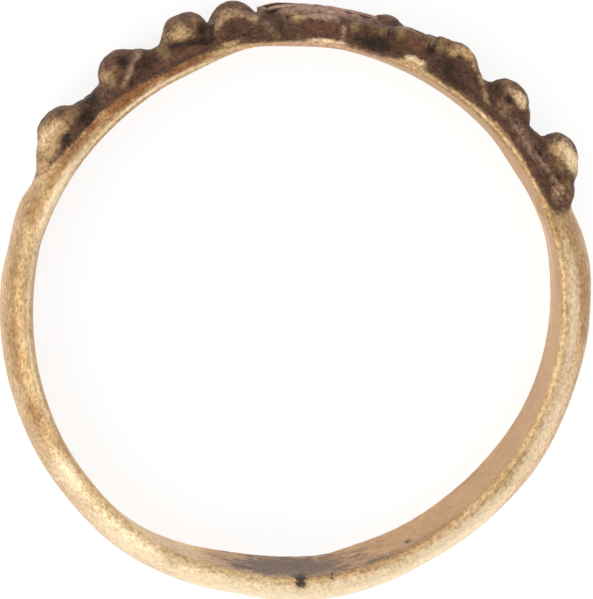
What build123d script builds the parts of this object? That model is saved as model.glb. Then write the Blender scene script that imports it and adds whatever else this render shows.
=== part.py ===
from build123d import *
import math
import os
from collections import namedtuple

# Betrothal ring, cast in one piece of brass: a hoop with a flat inside and a bevelled crown,
# and on its bezel two rows of raised granules, a wall of lobes along each side of its middle,
# and a low panel between the walls.
# It lies on its side: the bore runs along Z, the bezel is towards +Y, and one side of the
# hoop is on z = 0.

# Driving dimensions, in millimetres and degrees

# Hoop
bore_radius = 8.65         # the finger's hole, 17.3 mm across
band_width = 3.2           # along the bore
side_height = 0.50         # flat side, from the bore out to where the crown starts
crown_rise = 0.60          # from the edge of the crown to its top
edge_round = 0.15          # rounding of the hoop's two inner edges

# The crown's bevels, from its edge to its middle. Across is a share of half the band's width,
# from the middle of the band, and rise a share of the crown's rise.
Bevel = namedtuple("Bevel", "across rise")
crown_bevels = [
    Bevel(1.00, 0.00),
    Bevel(0.80, 0.45),
    Bevel(0.45, 0.86),
    Bevel(0.12, 1.00),
]

# Granules and lobes of the bezel
boss_radius = 0.72         # a full-size granule
boss_rise = 0.60           # from the top of the crown to the top of a full-height granule
boss_root = 0.75           # how far a granule's stem reaches in from the top of the crown
side_setback = 0.05        # from the side of the hoop to the outermost side of a granule

# Panel in the middle of the bezel
panel_turn = -1.7          # degrees from the bezel's middle to the panel's, positive to the left
panel_span = 22.0          # degrees of the hoop that the panel takes
panel_width = 2.00
panel_across = -0.35       # from the middle of the band to the middle of the panel
panel_rise = 0.20          # from the top of the crown to the top of the panel's rim
rim_width = 0.20
field_depth = 0.14         # how far the panel's field lies below its rim
flower_radius = 0.46       # from the middle of the flower to the middle of a petal
petal_radius = 0.20
petal_count = 6
petal_rise = 0.08          # from the field to the top of a petal
petal_round = 0.05         # rounding of a petal's top edge

# Bed where the crown is filed lower between three granules of the left shoulder
bed_start = 24.6           # degrees from the bezel's middle
bed_span = 29.3            # degrees that the bed takes, leftwards from its start
bed_depth = 0.20           # below the top of the crown

# Walls along the two sides of the bezel's middle. The upper one is cast in lobes, and the one on
# the side that the ring lies on is plain and low.
wall_width = 0.85
wall_foot = 0.35           # how far a wall's foot lies inside the hoop's flat side
wall_bevel = 0.12          # bevel around the face of a lobe
plain_wall_turn = -4.0     # degrees from the bezel's middle to the plain wall's
plain_wall_span = 68.0
plain_wall_rise = 0.25     # from the hoop's flat side to the top of the plain wall

# The tops of the lobes from left to right. Turn is in degrees from the bezel's middle, positive
# to the left, and top is the height above the hoop's flat side as a share of the crown's rise.
Top = namedtuple("Top", "lobe turn top")
lobe_tops = [
    Top("under the third granule", 31.0, 0.70),
    Top("under the third granule", 26.0, 0.50),
    Top("under the third granule", 20.6, 0.05),
    Top("curl", 19.8, 0.25),
    Top("curl", 17.4, 1.22),
    Top("curl", 14.6, 1.40),
    Top("curl", 12.8, 1.18),
    Top("curl", 8.4, 0.05),
    Top("broad pillow", 4.8, 0.84),
    Top("broad pillow", -0.7, 0.94),
    Top("broad pillow", -5.8, 0.84),
    Top("low pillow", -6.6, 0.75),
    Top("low pillow", -11.0, 0.88),
    Top("low pillow", -15.0, 0.90),
    Top("raised pillow", -15.8, 0.98),
    Top("raised pillow", -18.8, 1.32),
    Top("raised pillow", -21.6, 1.34),
    Top("raised pillow", -23.4, 1.14),
    Top("block", -24.2, 1.58),
    Top("block", -31.6, 1.60),
    Top("block", -34.8, 0.97),
    Top("block", -39.4, 0.12),
]

# Every boss of the bezel. Turn is in degrees from the bezel's middle, positive to the left.
# Row is 1 on the side that faces up and -1 on the side that the ring lies on. Size is a share
# of boss_radius, height a share of boss_rise, and dome the rounding of the top as a share of
# the boss's own radius.
Boss = namedtuple("Boss", "turn row size height dome")
bosses = [
    Boss(53.9, 1, 0.96, 1.12, 0.90),
    Boss(60.3, 1, 0.75, 0.08, 0.80),
    Boss(38.9, 1, 1.09, 1.16, 0.90),
    Boss(24.6, 1, 1.09, 1.16, 0.90),
    Boss(-42.1, 1, 1.04, 1.02, 0.90),
    Boss(-56.8, 1, 1.08, 1.34, 0.90),
    Boss(-63.0, 1, 0.76, 0.28, 0.80),
    Boss(55.4, -1, 1.00, 0.90, 0.90),
    Boss(61.0, -1, 0.80, -0.02, 0.80),
    Boss(38.9, -1, 0.95, 0.70, 0.90),
    Boss(24.4, -1, 0.95, 0.66, 0.90),
    Boss(14.8, -1, 0.98, 0.68, 0.90),
    Boss(-15.9, -1, 0.85, 0.60, 0.80),
    Boss(-25.4, -1, 0.95, 0.62, 0.90),
    Boss(-33.6, -1, 0.90, 0.02, 0.80),
    Boss(-43.6, -1, 1.05, 0.92, 0.90),
    Boss(-57.8, -1, 1.00, 0.95, 0.90),
    Boss(-64.0, -1, 0.70, 0.15, 0.80),
]

side_radius = bore_radius + side_height
crown_radius = side_radius + crown_rise
half_width = band_width / 2


def hoop():
    """Flat inside, rounded inner edges, short flat sides and a crown filed in narrow bevels."""
    inner_flat = half_width - edge_round
    crown = [(side_radius + row.rise * crown_rise, row.across * half_width) for row in crown_bevels]
    outer = crown + [(radius, -across) for radius, across in reversed(crown)]
    outline = [Line(start, end) for start, end in zip(outer, outer[1:])]
    bend = edge_round * (1 - math.cos(math.radians(45)))
    for sign in (1, -1):
        corner = (bore_radius + edge_round, sign * half_width)
        middle = (bore_radius + bend, sign * (half_width - bend))
        outline.append(Line((side_radius, sign * half_width), corner))
        outline.append(ThreePointArc(corner, middle, (bore_radius, sign * inner_flat)))
    outline.append(Line((bore_radius, inner_flat), (bore_radius, -inner_flat)))
    return revolve(Plane.XZ * make_face(outline), Axis.Z, 360)


def on_hoop(turn, across, radius):
    """Place on the hoop whose own Z points straight out from the bore."""
    return Rot(0, 0, turn) * Pos(0, radius, across) * Rot(-90, 0, 0)


def round_stem(radius, height, curve):
    """An upright stem of round section, its top edge rounded over by an arc."""
    bend = curve * (1 - math.cos(math.radians(45)))
    shoulder = (radius, height - curve)
    middle = (radius - bend, height - bend)
    brow = (radius - curve, height)
    outline = [
        Line((0, 0), (radius, 0)),
        Line((radius, 0), shoulder),
        ThreePointArc(shoulder, middle, brow),
        Line(brow, (0, height)),
        Line((0, height), (0, 0)),
    ]
    return revolve(Plane.XZ * make_face(outline), Axis.Z, 360)


def boss(row):
    """A granule or lobe: a round stem that stands out of the crown, worn round at its top."""
    radius = row.size * boss_radius
    stem = round_stem(radius, boss_root + row.height * boss_rise, row.dome * radius)
    across = row.row * (half_width - side_setback - radius)
    return on_hoop(row.turn, across, crown_radius - boss_root) * stem


def arc_slab(inner, outer, width, span):
    """A slab that follows the hoop between two radii, over some degrees each side of +Y."""
    face = Plane.XZ * Pos((inner + outer) / 2, 0) * Rectangle(outer - inner, width)
    return Rot(0, 0, 90 - span / 2) * revolve(face, Axis.Z, span)


def bed():
    """What is filed off the crown between the granules of the left shoulder."""
    clear = crown_rise
    body = arc_slab(crown_radius - bed_depth, crown_radius + clear, band_width + clear, bed_span)
    return Rot(0, 0, bed_start + bed_span / 2) * body


def polar(turn, radius):
    """Point in the plane of the hoop, turn degrees to the left of +Y."""
    angle = math.radians(90 + turn)
    return (radius * math.cos(angle), radius * math.sin(angle))


def lobe(name):
    """One lobe of the upper wall: a bevelled block whose outer side follows its row of tops."""
    tops = [row for row in lobe_tops if row.lobe == name]
    foot = side_radius - wall_foot
    corners = [polar(tops[0].turn, foot)]
    corners += [polar(row.turn, side_radius + row.top * crown_rise) for row in tops]
    corners.append(polar(tops[-1].turn, foot))
    front = half_width - side_setback
    outline = Plane.XY.offset(front - wall_width) * make_face(Polyline(*corners, close=True))
    block = extrude(outline, wall_width)
    face = block.faces().sort_by(Axis.Z)[-1]
    return chamfer(face.edges(), wall_bevel)


def plain_wall():
    """The low wall on the side that the ring lies on."""
    across = side_setback + wall_width / 2 - half_width
    body = arc_slab(side_radius - wall_foot, side_radius + plain_wall_rise, wall_width, plain_wall_span)
    return Rot(0, 0, plain_wall_turn) * Pos(0, 0, across) * body


def panel():
    """The low panel with its thin raised rim, and a flower in the sunken field."""
    top = crown_radius + panel_rise
    floor = top - field_depth
    field_span = panel_span - 2 * math.degrees(rim_width / top)
    body = arc_slab(side_radius, top, panel_width, panel_span)
    body -= arc_slab(floor, top + field_depth, panel_width - 2 * rim_width, field_span)
    petals = [(0, 0)]
    for number in range(petal_count):
        angle = math.radians(360 / petal_count * number)
        petals.append((flower_radius * math.cos(angle), flower_radius * math.sin(angle)))
    button = round_stem(petal_radius, field_depth + petal_rise, petal_round)
    for along, across in petals:
        turn = math.degrees(along / floor)
        body += on_hoop(turn, across, floor - field_depth) * button
    return Rot(0, 0, panel_turn) * Pos(0, 0, panel_across) * body


def ring():
    """The whole casting: the hoop, the walls, the panel and every boss of the bezel."""
    band = hoop() - bed()
    names = dict.fromkeys(row.lobe for row in lobe_tops)
    lobes = [lobe(name) for name in names]
    return band.fuse(plain_wall(), panel(), *lobes, *[boss(row) for row in bosses])


def laid_down(body):
    """Lay the ring on z = 0 with the middle of its box over the origin."""
    box = body.bounding_box()
    return Pos(-box.center().X, -box.center().Y, -box.min.Z) * body


os.makedirs("parts", exist_ok=True)
standing = ring()
lying = laid_down(standing)
shift = lying.bounding_box().center() - standing.bounding_box().center()
export_step(lying, "parts/ring.step")
print("bore axis at", round(shift.X, 3), round(shift.Y, 3), "middle of the bore", round(shift.Z, 3))
print("bore radius", bore_radius, "length", round(band_width - 2 * edge_round, 3))
print("volume", round(lying.volume, 2), "mm3, solids", len(lying.solids()))
print("box", [round(value, 3) for value in lying.bounding_box().size])
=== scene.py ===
# %% [markdown]
# A betrothal ring cast in brass
#
# The real ring is one casting: a hoop with a smooth finger hole, and on its front a bezel of
# worn granules and lobes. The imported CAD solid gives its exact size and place. This lesson
# gives that solid a cast skin, the marks of wear and a brass with old tarnish in its hollows.
# The first cell loads the solid. Everything below is in its frame, and one unit is one metre.

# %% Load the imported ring
import math
from collections import namedtuple

import bpy
import numpy as np
from mathutils import Matrix, Vector


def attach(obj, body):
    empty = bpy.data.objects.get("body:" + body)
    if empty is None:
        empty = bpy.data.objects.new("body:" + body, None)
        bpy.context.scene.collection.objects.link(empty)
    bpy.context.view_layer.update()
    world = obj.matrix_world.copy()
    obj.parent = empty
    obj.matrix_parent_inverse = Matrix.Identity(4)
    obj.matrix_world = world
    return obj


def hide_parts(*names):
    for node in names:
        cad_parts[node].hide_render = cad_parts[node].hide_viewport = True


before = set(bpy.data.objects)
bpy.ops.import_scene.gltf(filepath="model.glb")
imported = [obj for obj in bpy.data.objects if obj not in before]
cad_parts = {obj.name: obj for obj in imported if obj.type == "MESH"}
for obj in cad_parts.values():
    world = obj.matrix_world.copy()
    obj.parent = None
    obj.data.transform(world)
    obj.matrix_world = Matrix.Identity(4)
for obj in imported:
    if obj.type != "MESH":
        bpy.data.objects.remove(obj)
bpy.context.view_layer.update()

cad_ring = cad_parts["ring"]

# %% [markdown]
# Where the ring lies and how it is seen
#
# The ring lies on its side, so its bore stands upright, and the bezel points along +Y. The
# photograph looks almost straight down the bore, from a hand's width away, a little from the
# left and from the bezel's side. A long lens keeps both rims nearly the same size. The camera
# comes first, because every later choice is compared through it.

# %% Camera
MM = 0.001
bore_middle = Vector((0.0, -0.10, 1.6))      # middle of the finger hole, mm
view_turn = math.radians(3.0)                # the bezel sits 3 degrees off the picture's upright
view_side = Vector((-0.0988, 0.1327, 1.0))   # towards the camera, in the picture's own axes
view_distance = 131.25                       # mm
aim_right = 0.0945                           # the aim passes the bore's middle on this side, mm
aim_up = 0.268
lens = 240.0                                 # for a picture 36 mm wide

sideways = Matrix.Rotation(view_turn, 3, "Z")
towards = (sideways @ view_side).normalized()
upright = sideways @ Vector((0, 1, 0))
right = upright.cross(towards).normalized()
up = towards.cross(right)

camera_data = bpy.data.cameras.new("camera")
camera_data.lens = lens
camera_data.sensor_width = 36
camera_data.clip_start = 0.01
camera_data.clip_end = 10
camera = bpy.data.objects.new("camera", camera_data)
bpy.context.scene.collection.objects.link(camera)
eye = bore_middle + towards * view_distance
aim = bore_middle + right * aim_right + up * aim_up
camera.location = eye * MM
look = (aim - eye).normalized()
side = look.cross(up).normalized()
turned = Matrix((side, side.cross(look), -look)).transposed()
camera.rotation_euler = turned.to_euler()
bpy.context.scene.camera = camera
print("camera height above the floor in mm:", round(eye.z, 1))

# %% [markdown]
# Node trees
#
# Geometry Nodes make what repeats and what follows the surface, and shader nodes make the
# finish. Both kinds of tree are built in this script by the same few helpers, so a tree reads
# from top to bottom as a list of nodes, each with what goes into it.

# %% Helpers for node trees
def node(tree, kind, sockets=(), **settings):
    """Add a node. sockets pairs an input's name or number with a value or with an output."""
    made = tree.nodes.new(kind)
    for key, value in settings.items():
        setattr(made, key, value)
    for key, value in dict(sockets).items():
        wanted = made.inputs[key] if isinstance(key, int) else pick(made.inputs, key)
        if isinstance(value, bpy.types.NodeSocket):
            tree.links.new(value, wanted)
        else:
            wanted.default_value = value
    return made


def pick(sockets, name=None):
    """The first socket in use, of that name if one is given."""
    return next(s for s in sockets if s.enabled and name in (None, s.name))


def geometry_tree(name, **sizes):
    """A Geometry Nodes tree with a geometry in and out, and an input for each named size."""
    tree = bpy.data.node_groups.new(name, "GeometryNodeTree")
    tree.interface.new_socket("Geometry", in_out="INPUT", socket_type="NodeSocketGeometry")
    tree.interface.new_socket("Geometry", in_out="OUTPUT", socket_type="NodeSocketGeometry")
    for label, value in sizes.items():
        kind = "NodeSocketInt" if isinstance(value, int) else "NodeSocketFloat"
        socket = tree.interface.new_socket(label, in_out="INPUT", socket_type=kind)
        socket.default_value = value
    return tree, tree.nodes.new("NodeGroupInput"), tree.nodes.new("NodeGroupOutput")


def run_tree(thing, tree, **sizes):
    """Run a Geometry Nodes tree on an object, with its inputs set by their identifiers."""
    modifier = thing.modifiers.new(tree.name, "NODES")
    modifier.node_group = tree
    inputs = [item for item in tree.interface.items_tree if item.in_out == "INPUT"]
    names = {item.name: item.identifier for item in inputs}
    for label, value in sizes.items():
        modifier[names[label]] = value


metal = bpy.data.materials.new("worn_brass")


def close_tree(tree, geometry, outlet):
    """End a tree: instances become real geometry, and all of it takes the brass."""
    real = node(tree, "GeometryNodeRealizeInstances", {"Geometry": geometry})
    coated = node(tree, "GeometryNodeSetMaterial", {"Geometry": real.outputs[0], "Material": metal})
    tree.links.new(coated.outputs[0], outlet.inputs["Geometry"])


def new_object(name, mesh):
    """Put a mesh in the scene as an object at the origin."""
    thing = bpy.data.objects.new(name, mesh)
    bpy.context.scene.collection.objects.link(thing)
    return thing


def applied(thing):
    """The mesh of an object with its modifiers applied. The object itself is taken away."""
    graph = bpy.context.evaluated_depsgraph_get()
    mesh = bpy.data.meshes.new_from_object(thing.evaluated_get(graph))
    name = thing.name
    bpy.data.objects.remove(thing)
    mesh.name = name
    return mesh


print("the metal is called", metal.name)

# %% [markdown]
# Places on the ring
#
# Every mark is placed as a ring maker would say it: how far round from the middle of the bezel
# in degrees, positive to the left, how far out from the bore's axis, and how high above the
# table, in millimetres. Two small functions turn that into a point and back.

# %% Places in degrees and millimetres
def at(turn, out, rise):
    """The point at that turn, distance from the bore's axis and height."""
    angle = math.radians(90 + turn)
    along_x, along_y = out * math.cos(angle), out * math.sin(angle)
    return Vector((bore_middle.x + along_x, bore_middle.y + along_y, rise))


def places(points):
    """Turn, distance from the axis and height of each point."""
    x, y = points[:, 0] - bore_middle.x, points[:, 1] - bore_middle.y
    return np.degrees(np.arctan2(-x, y)), np.hypot(x, y), points[:, 2]


def points_of(mesh):
    """The mesh's points as rows of x, y and z."""
    flat = np.empty(len(mesh.vertices) * 3)
    mesh.vertices.foreach_get("co", flat)
    return flat.reshape(-1, 3)


def normals_of(mesh):
    """The mesh's point normals as rows."""
    flat = np.empty(len(mesh.vertices) * 3)
    mesh.vertex_normals.foreach_get("vector", flat)
    return flat.reshape(-1, 3)


def ramp(values, start, end):
    """0 at start, 1 at end and a smooth climb between, whichever of the two is larger."""
    share = np.clip((values - start) / (end - start), 0, 1)
    return share * share * (3 - 2 * share)


def store(mesh, name, values):
    """Keep a number for each point of a mesh under that name."""
    kept = mesh.attributes.get(name) or mesh.attributes.new(name, "FLOAT", "POINT")
    kept.data.foreach_set("value", np.asarray(values, dtype=np.float32))


crown_out = 9.75                             # from the bore's axis to the top of the crown, mm
bezel_top = at(0, crown_out, bore_middle.z)
print("top of the crown in the bezel's middle, mm:", [round(value, 2) for value in bezel_top])

# %% [markdown]
# Pellets of wax
#
# On the real bezel the granules don't stand apart like beads. The wax ran between them, and the
# shoulders swell up to each one. A maker would press small pellets of wax in the corners. They
# are one shape repeated, so Geometry Nodes put a ball on each point of a table, stretched and
# turned to follow the hoop.

# %% Pellets between the granules
Pellet = namedtuple("Pellet", "turn out rise along deep across")
pellets = [
    Pellet(49.8, 9.38, 2.40, 0.55, 0.56, 0.62),    # right flank of the first granule
    Pellet(57.2, 9.64, 2.45, 0.55, 0.64, 0.60),    # its body, down the shoulder
    Pellet(59.6, 9.48, 2.45, 0.60, 0.62, 0.62),
    Pellet(62.0, 9.30, 2.40, 0.65, 0.56, 0.70),    # its foot
    Pellet(64.0, 9.06, 2.20, 0.70, 0.46, 0.60),
    Pellet(44.4, 9.32, 2.35, 0.55, 0.55, 0.72),    # left flank of the second
    Pellet(34.6, 9.60, 2.45, 0.48, 0.52, 0.56),    # its shelf
    Pellet(32.4, 9.28, 2.40, 0.80, 0.56, 0.72),
    Pellet(27.8, 9.62, 2.45, 0.38, 0.50, 0.54),    # left flank of the third
    Pellet(21.2, 9.42, 2.45, 0.38, 0.50, 0.50),    # its right flank
    Pellet(14.4, 9.53, 0.80, 0.82, 0.66, 0.68),    # lower row, behind the curl
    Pellet(17.0, 9.46, 2.62, 0.50, 0.48, 0.46),    # shoulders of the curl
    Pellet(12.8, 9.44, 2.62, 0.50, 0.44, 0.46),
    Pellet(9.4, 9.42, 1.90, 0.55, 0.48, 0.60),     # slope up to the panel
    Pellet(4.5, 9.44, 2.36, 0.55, 0.44, 0.36),     # between the panel and the pillows
    Pellet(1.5, 9.46, 2.36, 0.60, 0.46, 0.36),
    Pellet(-1.5, 9.46, 2.36, 0.60, 0.46, 0.36),
    Pellet(-4.8, 9.44, 2.36, 0.60, 0.44, 0.36),
    Pellet(-8.5, 9.42, 2.34, 0.60, 0.42, 0.36),
    Pellet(-12.2, 9.42, 2.34, 0.60, 0.42, 0.36),
    Pellet(-18.6, 9.50, 0.80, 0.52, 0.52, 0.52),   # lower row, behind the raised pillow
    Pellet(-29.4, 9.66, 2.45, 0.70, 0.54, 0.60),   # worn corner of the block
    Pellet(-37.8, 9.25, 2.40, 0.80, 0.50, 0.72),   # between the block and the fourth
    Pellet(-46.2, 9.44, 2.45, 0.46, 0.55, 0.60),   # right flank of the fourth
    Pellet(-50.4, 9.20, 2.40, 0.80, 0.52, 0.74),   # between the last two
    Pellet(-60.0, 9.74, 2.45, 0.50, 0.58, 0.60),   # body of the last granule
    Pellet(-63.4, 9.48, 2.45, 0.36, 0.50, 0.55),   # its bump
    Pellet(-65.2, 9.12, 2.30, 0.80, 0.58, 0.85),   # its foot
]
ball_rounds = 4
pellet_tree, inlet, outlet = geometry_tree("pellets", Rounds=ball_rounds)


def kept_value(tree, name, data_type="FLOAT"):
    """What the mesh keeps under that name, for a Geometry Nodes tree."""
    made = node(tree, "GeometryNodeInputNamedAttribute", {"Name": name}, data_type=data_type)
    return pick(made.outputs)


ball = node(pellet_tree, "GeometryNodeMeshIcoSphere",
            {"Radius": 1.0, "Subdivisions": inlet.outputs["Rounds"]})
dots = node(pellet_tree, "GeometryNodeMeshToPoints", {"Mesh": inlet.outputs["Geometry"]})
laid = node(pellet_tree, "GeometryNodeInstanceOnPoints",
            {"Points": pick(dots.outputs), "Instance": ball.outputs["Mesh"],
             "Rotation": kept_value(pellet_tree, "swing", "FLOAT_VECTOR"),
             "Scale": kept_value(pellet_tree, "stretch", "FLOAT_VECTOR")})
close_tree(pellet_tree, laid.outputs["Instances"], outlet)

seeds = bpy.data.meshes.new("pellets")
seeds.from_pydata([at(row.turn, row.out, row.rise) for row in pellets], [], [])
for name, rows in (("stretch", [(row.along, row.deep, row.across) for row in pellets]),
                   ("swing", [(0, 0, math.radians(row.turn)) for row in pellets])):
    seeds.attributes.new(name, "FLOAT_VECTOR", "POINT").data.foreach_set("vector", np.ravel(rows))
pellet_object = new_object("pellets", seeds)
run_tree(pellet_object, pellet_tree, Rounds=ball_rounds)
pellet_mesh = applied(pellet_object)
print("pellets:", len(pellets), "faces:", len(pellet_mesh.polygons))

# %% [markdown]
# The blank
#
# A casting starts as a wax, and a wax has no sharp corner. The CAD solid has the right form but
# crisp edges, and its mesh is loose triangles. It could be subdivided, but long thin triangles
# crease. So a copy is merged, the pellets are added, and both are wrapped in one new skin of
# small even squares, which is what the sculptor's voxel remesh does. The copy is worked in
# millimetres, because the remesh and the noise below are easier to judge at that size.

# %% Blank in millimetres
fine_square, quick_square = 0.05, 0.06       # side of a square of the skin, mm
skin_square = fine_square
weld_gap = 0.0005                            # corners of the CAD mesh closer than this are one, mm
blank_mesh = cad_ring.data.copy()
blank_mesh.materials.clear()
blank_mesh.transform(Matrix.Scale(1 / MM, 4))
blank = new_object("blank", blank_mesh)
weld = blank.modifiers.new("weld", "WELD")
weld.merge_threshold = weld_gap
parts = [new_object("part", applied(blank)), new_object("part", pellet_mesh)]
corners, faces = [], []
for part in parts:
    offset = sum(len(rows) for rows in corners)
    corners.append(points_of(part.data))
    faces += [[offset + index for index in face.vertices] for face in part.data.polygons]
    bpy.data.objects.remove(part)
joined = bpy.data.meshes.new("ring_cast")
joined.from_pydata(np.vstack(corners).tolist(), [], faces)
ring = new_object("ring_cast", joined)
wrap = ring.modifiers.new("wrap", "REMESH")
wrap.mode = "VOXEL"
wrap.voxel_size = skin_square
skin = applied(ring)
print("faces in the skin:", len(skin.polygons))

# %% [markdown]
# Melting
#
# Fingers and years have melted the hoop's bevels into one soft curve. The bezel keeps more of its
# form, the panel with its flower most of all, and the inner edge stays clear. Each zone gets its
# own amount. The skin's points are averaged with their neighbours, which Geometry Nodes do fast,
# and a mask says how far each point follows. The masks are worked out from the places.

# %% Where the bezel and the panel are
bezel_left, bezel_right, bezel_fade = 64.5, -67.5, 5.0     # degrees
panel_turn, panel_rise = -1.7, 1.25                        # middle of the panel


def bezel_mask(turn):
    """1 along the bezel, fading to 0 past its two ends."""
    left_end = ramp(turn, bezel_left + bezel_fade, bezel_left)
    return left_end * ramp(turn, bezel_right - bezel_fade, bezel_right)


def panel_mask(turn, out, rise, along, across, foot):
    """1 on the panel and 0 off it. Each of the last three says where a climb starts and ends."""
    inside = ramp(np.abs(turn - panel_turn), *along) * ramp(np.abs(rise - panel_rise), *across)
    return inside * ramp(out, *foot)


panel_spared = 0.8                           # share of the last melt that the panel is spared
turn, out, rise = places(points_of(skin))
bezel = bezel_mask(turn)
outside = ramp(out, 8.85, 9.15)
on_panel = panel_mask(turn, out, rise, (12.2, 11.4), (1.12, 1.04), (9.66, 9.76))
store(skin, "hoop_melt", outside * (1 - bezel))
store(skin, "bezel_melt", outside * (1 - on_panel))
store(skin, "all_melt", 1 - panel_spared * on_panel)
print("points on the bezel:", int((bezel > 0.5).sum()), "and on the panel:",
      int((on_panel > 0.5).sum()))

# %% Melt the bevels and the bezel
hoop_rounds = round(60 * (fine_square / skin_square) ** 2)
melt_rounds = {"HoopRounds": hoop_rounds, "BezelRounds": 14, "AllRounds": 5}
melt_tree, inlet, outlet = geometry_tree("melt", **melt_rounds)
here = node(melt_tree, "GeometryNodeInputPosition").outputs["Position"]
flow = inlet.outputs["Geometry"]
for mask, rounds in zip(("hoop_melt", "bezel_melt", "all_melt"), melt_rounds):
    mean = node(melt_tree, "GeometryNodeBlurAttribute",
                {"Value": here, "Iterations": inlet.outputs[rounds]}, data_type="FLOAT_VECTOR")
    mixed = node(melt_tree, "ShaderNodeMix",
                 {"Factor": kept_value(melt_tree, mask), "A": here, "B": pick(mean.outputs)},
                 data_type="VECTOR")
    flow = node(melt_tree, "GeometryNodeSetPosition",
                {"Geometry": flow, "Position": pick(mixed.outputs)}).outputs["Geometry"]
close_tree(melt_tree, flow, outlet)
ring = new_object("ring_cast", skin)
run_tree(ring, melt_tree, **melt_rounds)
skin = applied(ring)
print("melt rounds:", melt_rounds)

# %% [markdown]
# Bending
#
# The real hoop isn't quite round. It was squeezed on the finger, each rim a little differently.
# A few long waves round each rim say that: how many corners, how far out they stand and where
# one of them points. Knocks are shorter. Each pushes a rim, or the crown alone, in or out at one
# turn and fades over its spread, where the real metal was struck, filed or worn. Between the
# rims all this passes smoothly from one into the other.

# %% Waves and knocks
Wave = namedtuple("Wave", "rim corners push turn")
waves = [
    Wave("upper", 2, 0.045, -19),
    Wave("upper", 3, 0.030, -56),
    Wave("upper", 4, 0.030, -88),
    Wave("lower", 2, 0.055, -53),
    Wave("lower", 3, 0.145, -91),
    Wave("lower", 4, 0.050, -51),
]
Knock = namedtuple("Knock", "place turn spread push")
knocks = [
    Knock("upper", 42, 20, -0.08),
    Knock("upper", 83, 8, 0.06),
    Knock("upper", 124, 7, 0.06),
    Knock("upper", 27, 5, -0.04),
    Knock("upper", 13, 6, 0.12),
    Knock("lower", 147, 13, 0.14),
    Knock("upper", 147, 13, 0.10),
    Knock("lower", -170, 6, 0.09),
    Knock("lower", -124, 8, -0.05),
    Knock("lower", -73, 5, 0.05),
    Knock("lower", -56, 6, -0.07),
    Knock("lower", 170, 8, -0.06),
    Knock("upper", 170, 5, -0.05),
    Knock("lower", -137, 10, -0.06),
    Knock("crown", 140, 34, -0.14),
    Knock("crown", 173, 4.0, -0.03),
    Knock("crown", 66.5, 3.0, -0.15),
    Knock("crown", 80, 5.0, -0.08),
    Knock("crown", 58, 1.5, 0.07),
    Knock("crown", 47.5, 2.2, 0.10),
    Knock("crown", 35, 1.5, 0.02),
    Knock("crown", 32, 1.5, -0.02),
    Knock("crown", 27, 2.0, 0.05),
    Knock("crown", 6.5, 2.5, 0.02),
    Knock("crown", -16.5, 2.0, 0.07),
    Knock("crown", -29, 3.0, 0.10),
    Knock("crown", -46, 2.0, 0.07),
    Knock("crown", -52.5, 2.0, 0.11),
    Knock("crown", -57, 3.0, 0.05),
    Knock("crown", -68, 3.0, -0.08),
    Knock("crown", -80, 6.5, 0.10),
    Knock("crown", -92, 7.0, 0.05),
    Knock("crown", -121, 8.0, 0.06),
    Knock("crown", -149, 9.0, -0.07),
]
print("waves:", len(waves), "knocks:", len(knocks))

# %% Bend the rims out of round
hoop_width = 3.2                             # along the bore, mm


def degrees_from(turn, centre):
    """Degrees round the hoop from a turn, the shorter way."""
    return (turn - centre + 180) % 360 - 180


def put_points(mesh, points):
    """Move the mesh's points to these rows of x, y and z."""
    mesh.vertices.foreach_set("co", points.ravel())
    mesh.update()


points = points_of(skin)
turn, out, rise = places(points)
upper_share = np.clip(rise / hoop_width, 0, 1)
share_at = {"upper": upper_share, "lower": 1 - upper_share, "crown": ramp(out, 9.0, 9.6)}
shift = np.zeros(len(points))
for wave in waves:
    shift += share_at[wave.rim] * wave.push * np.cos(wave.corners * np.radians(turn - wave.turn))
for knock in knocks:
    gap = degrees_from(turn, knock.turn)
    shift += share_at[knock.place] * knock.push * np.exp(-(gap / knock.spread) ** 2)
outward = np.stack([points[:, 0] - bore_middle.x, points[:, 1] - bore_middle.y, 0 * out], axis=1)
outward /= out[:, None]
points += outward * shift[:, None]
put_points(skin, points)
print("the bend moves the metal by up to", round(float(np.abs(shift).max()), 3), "mm")
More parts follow.
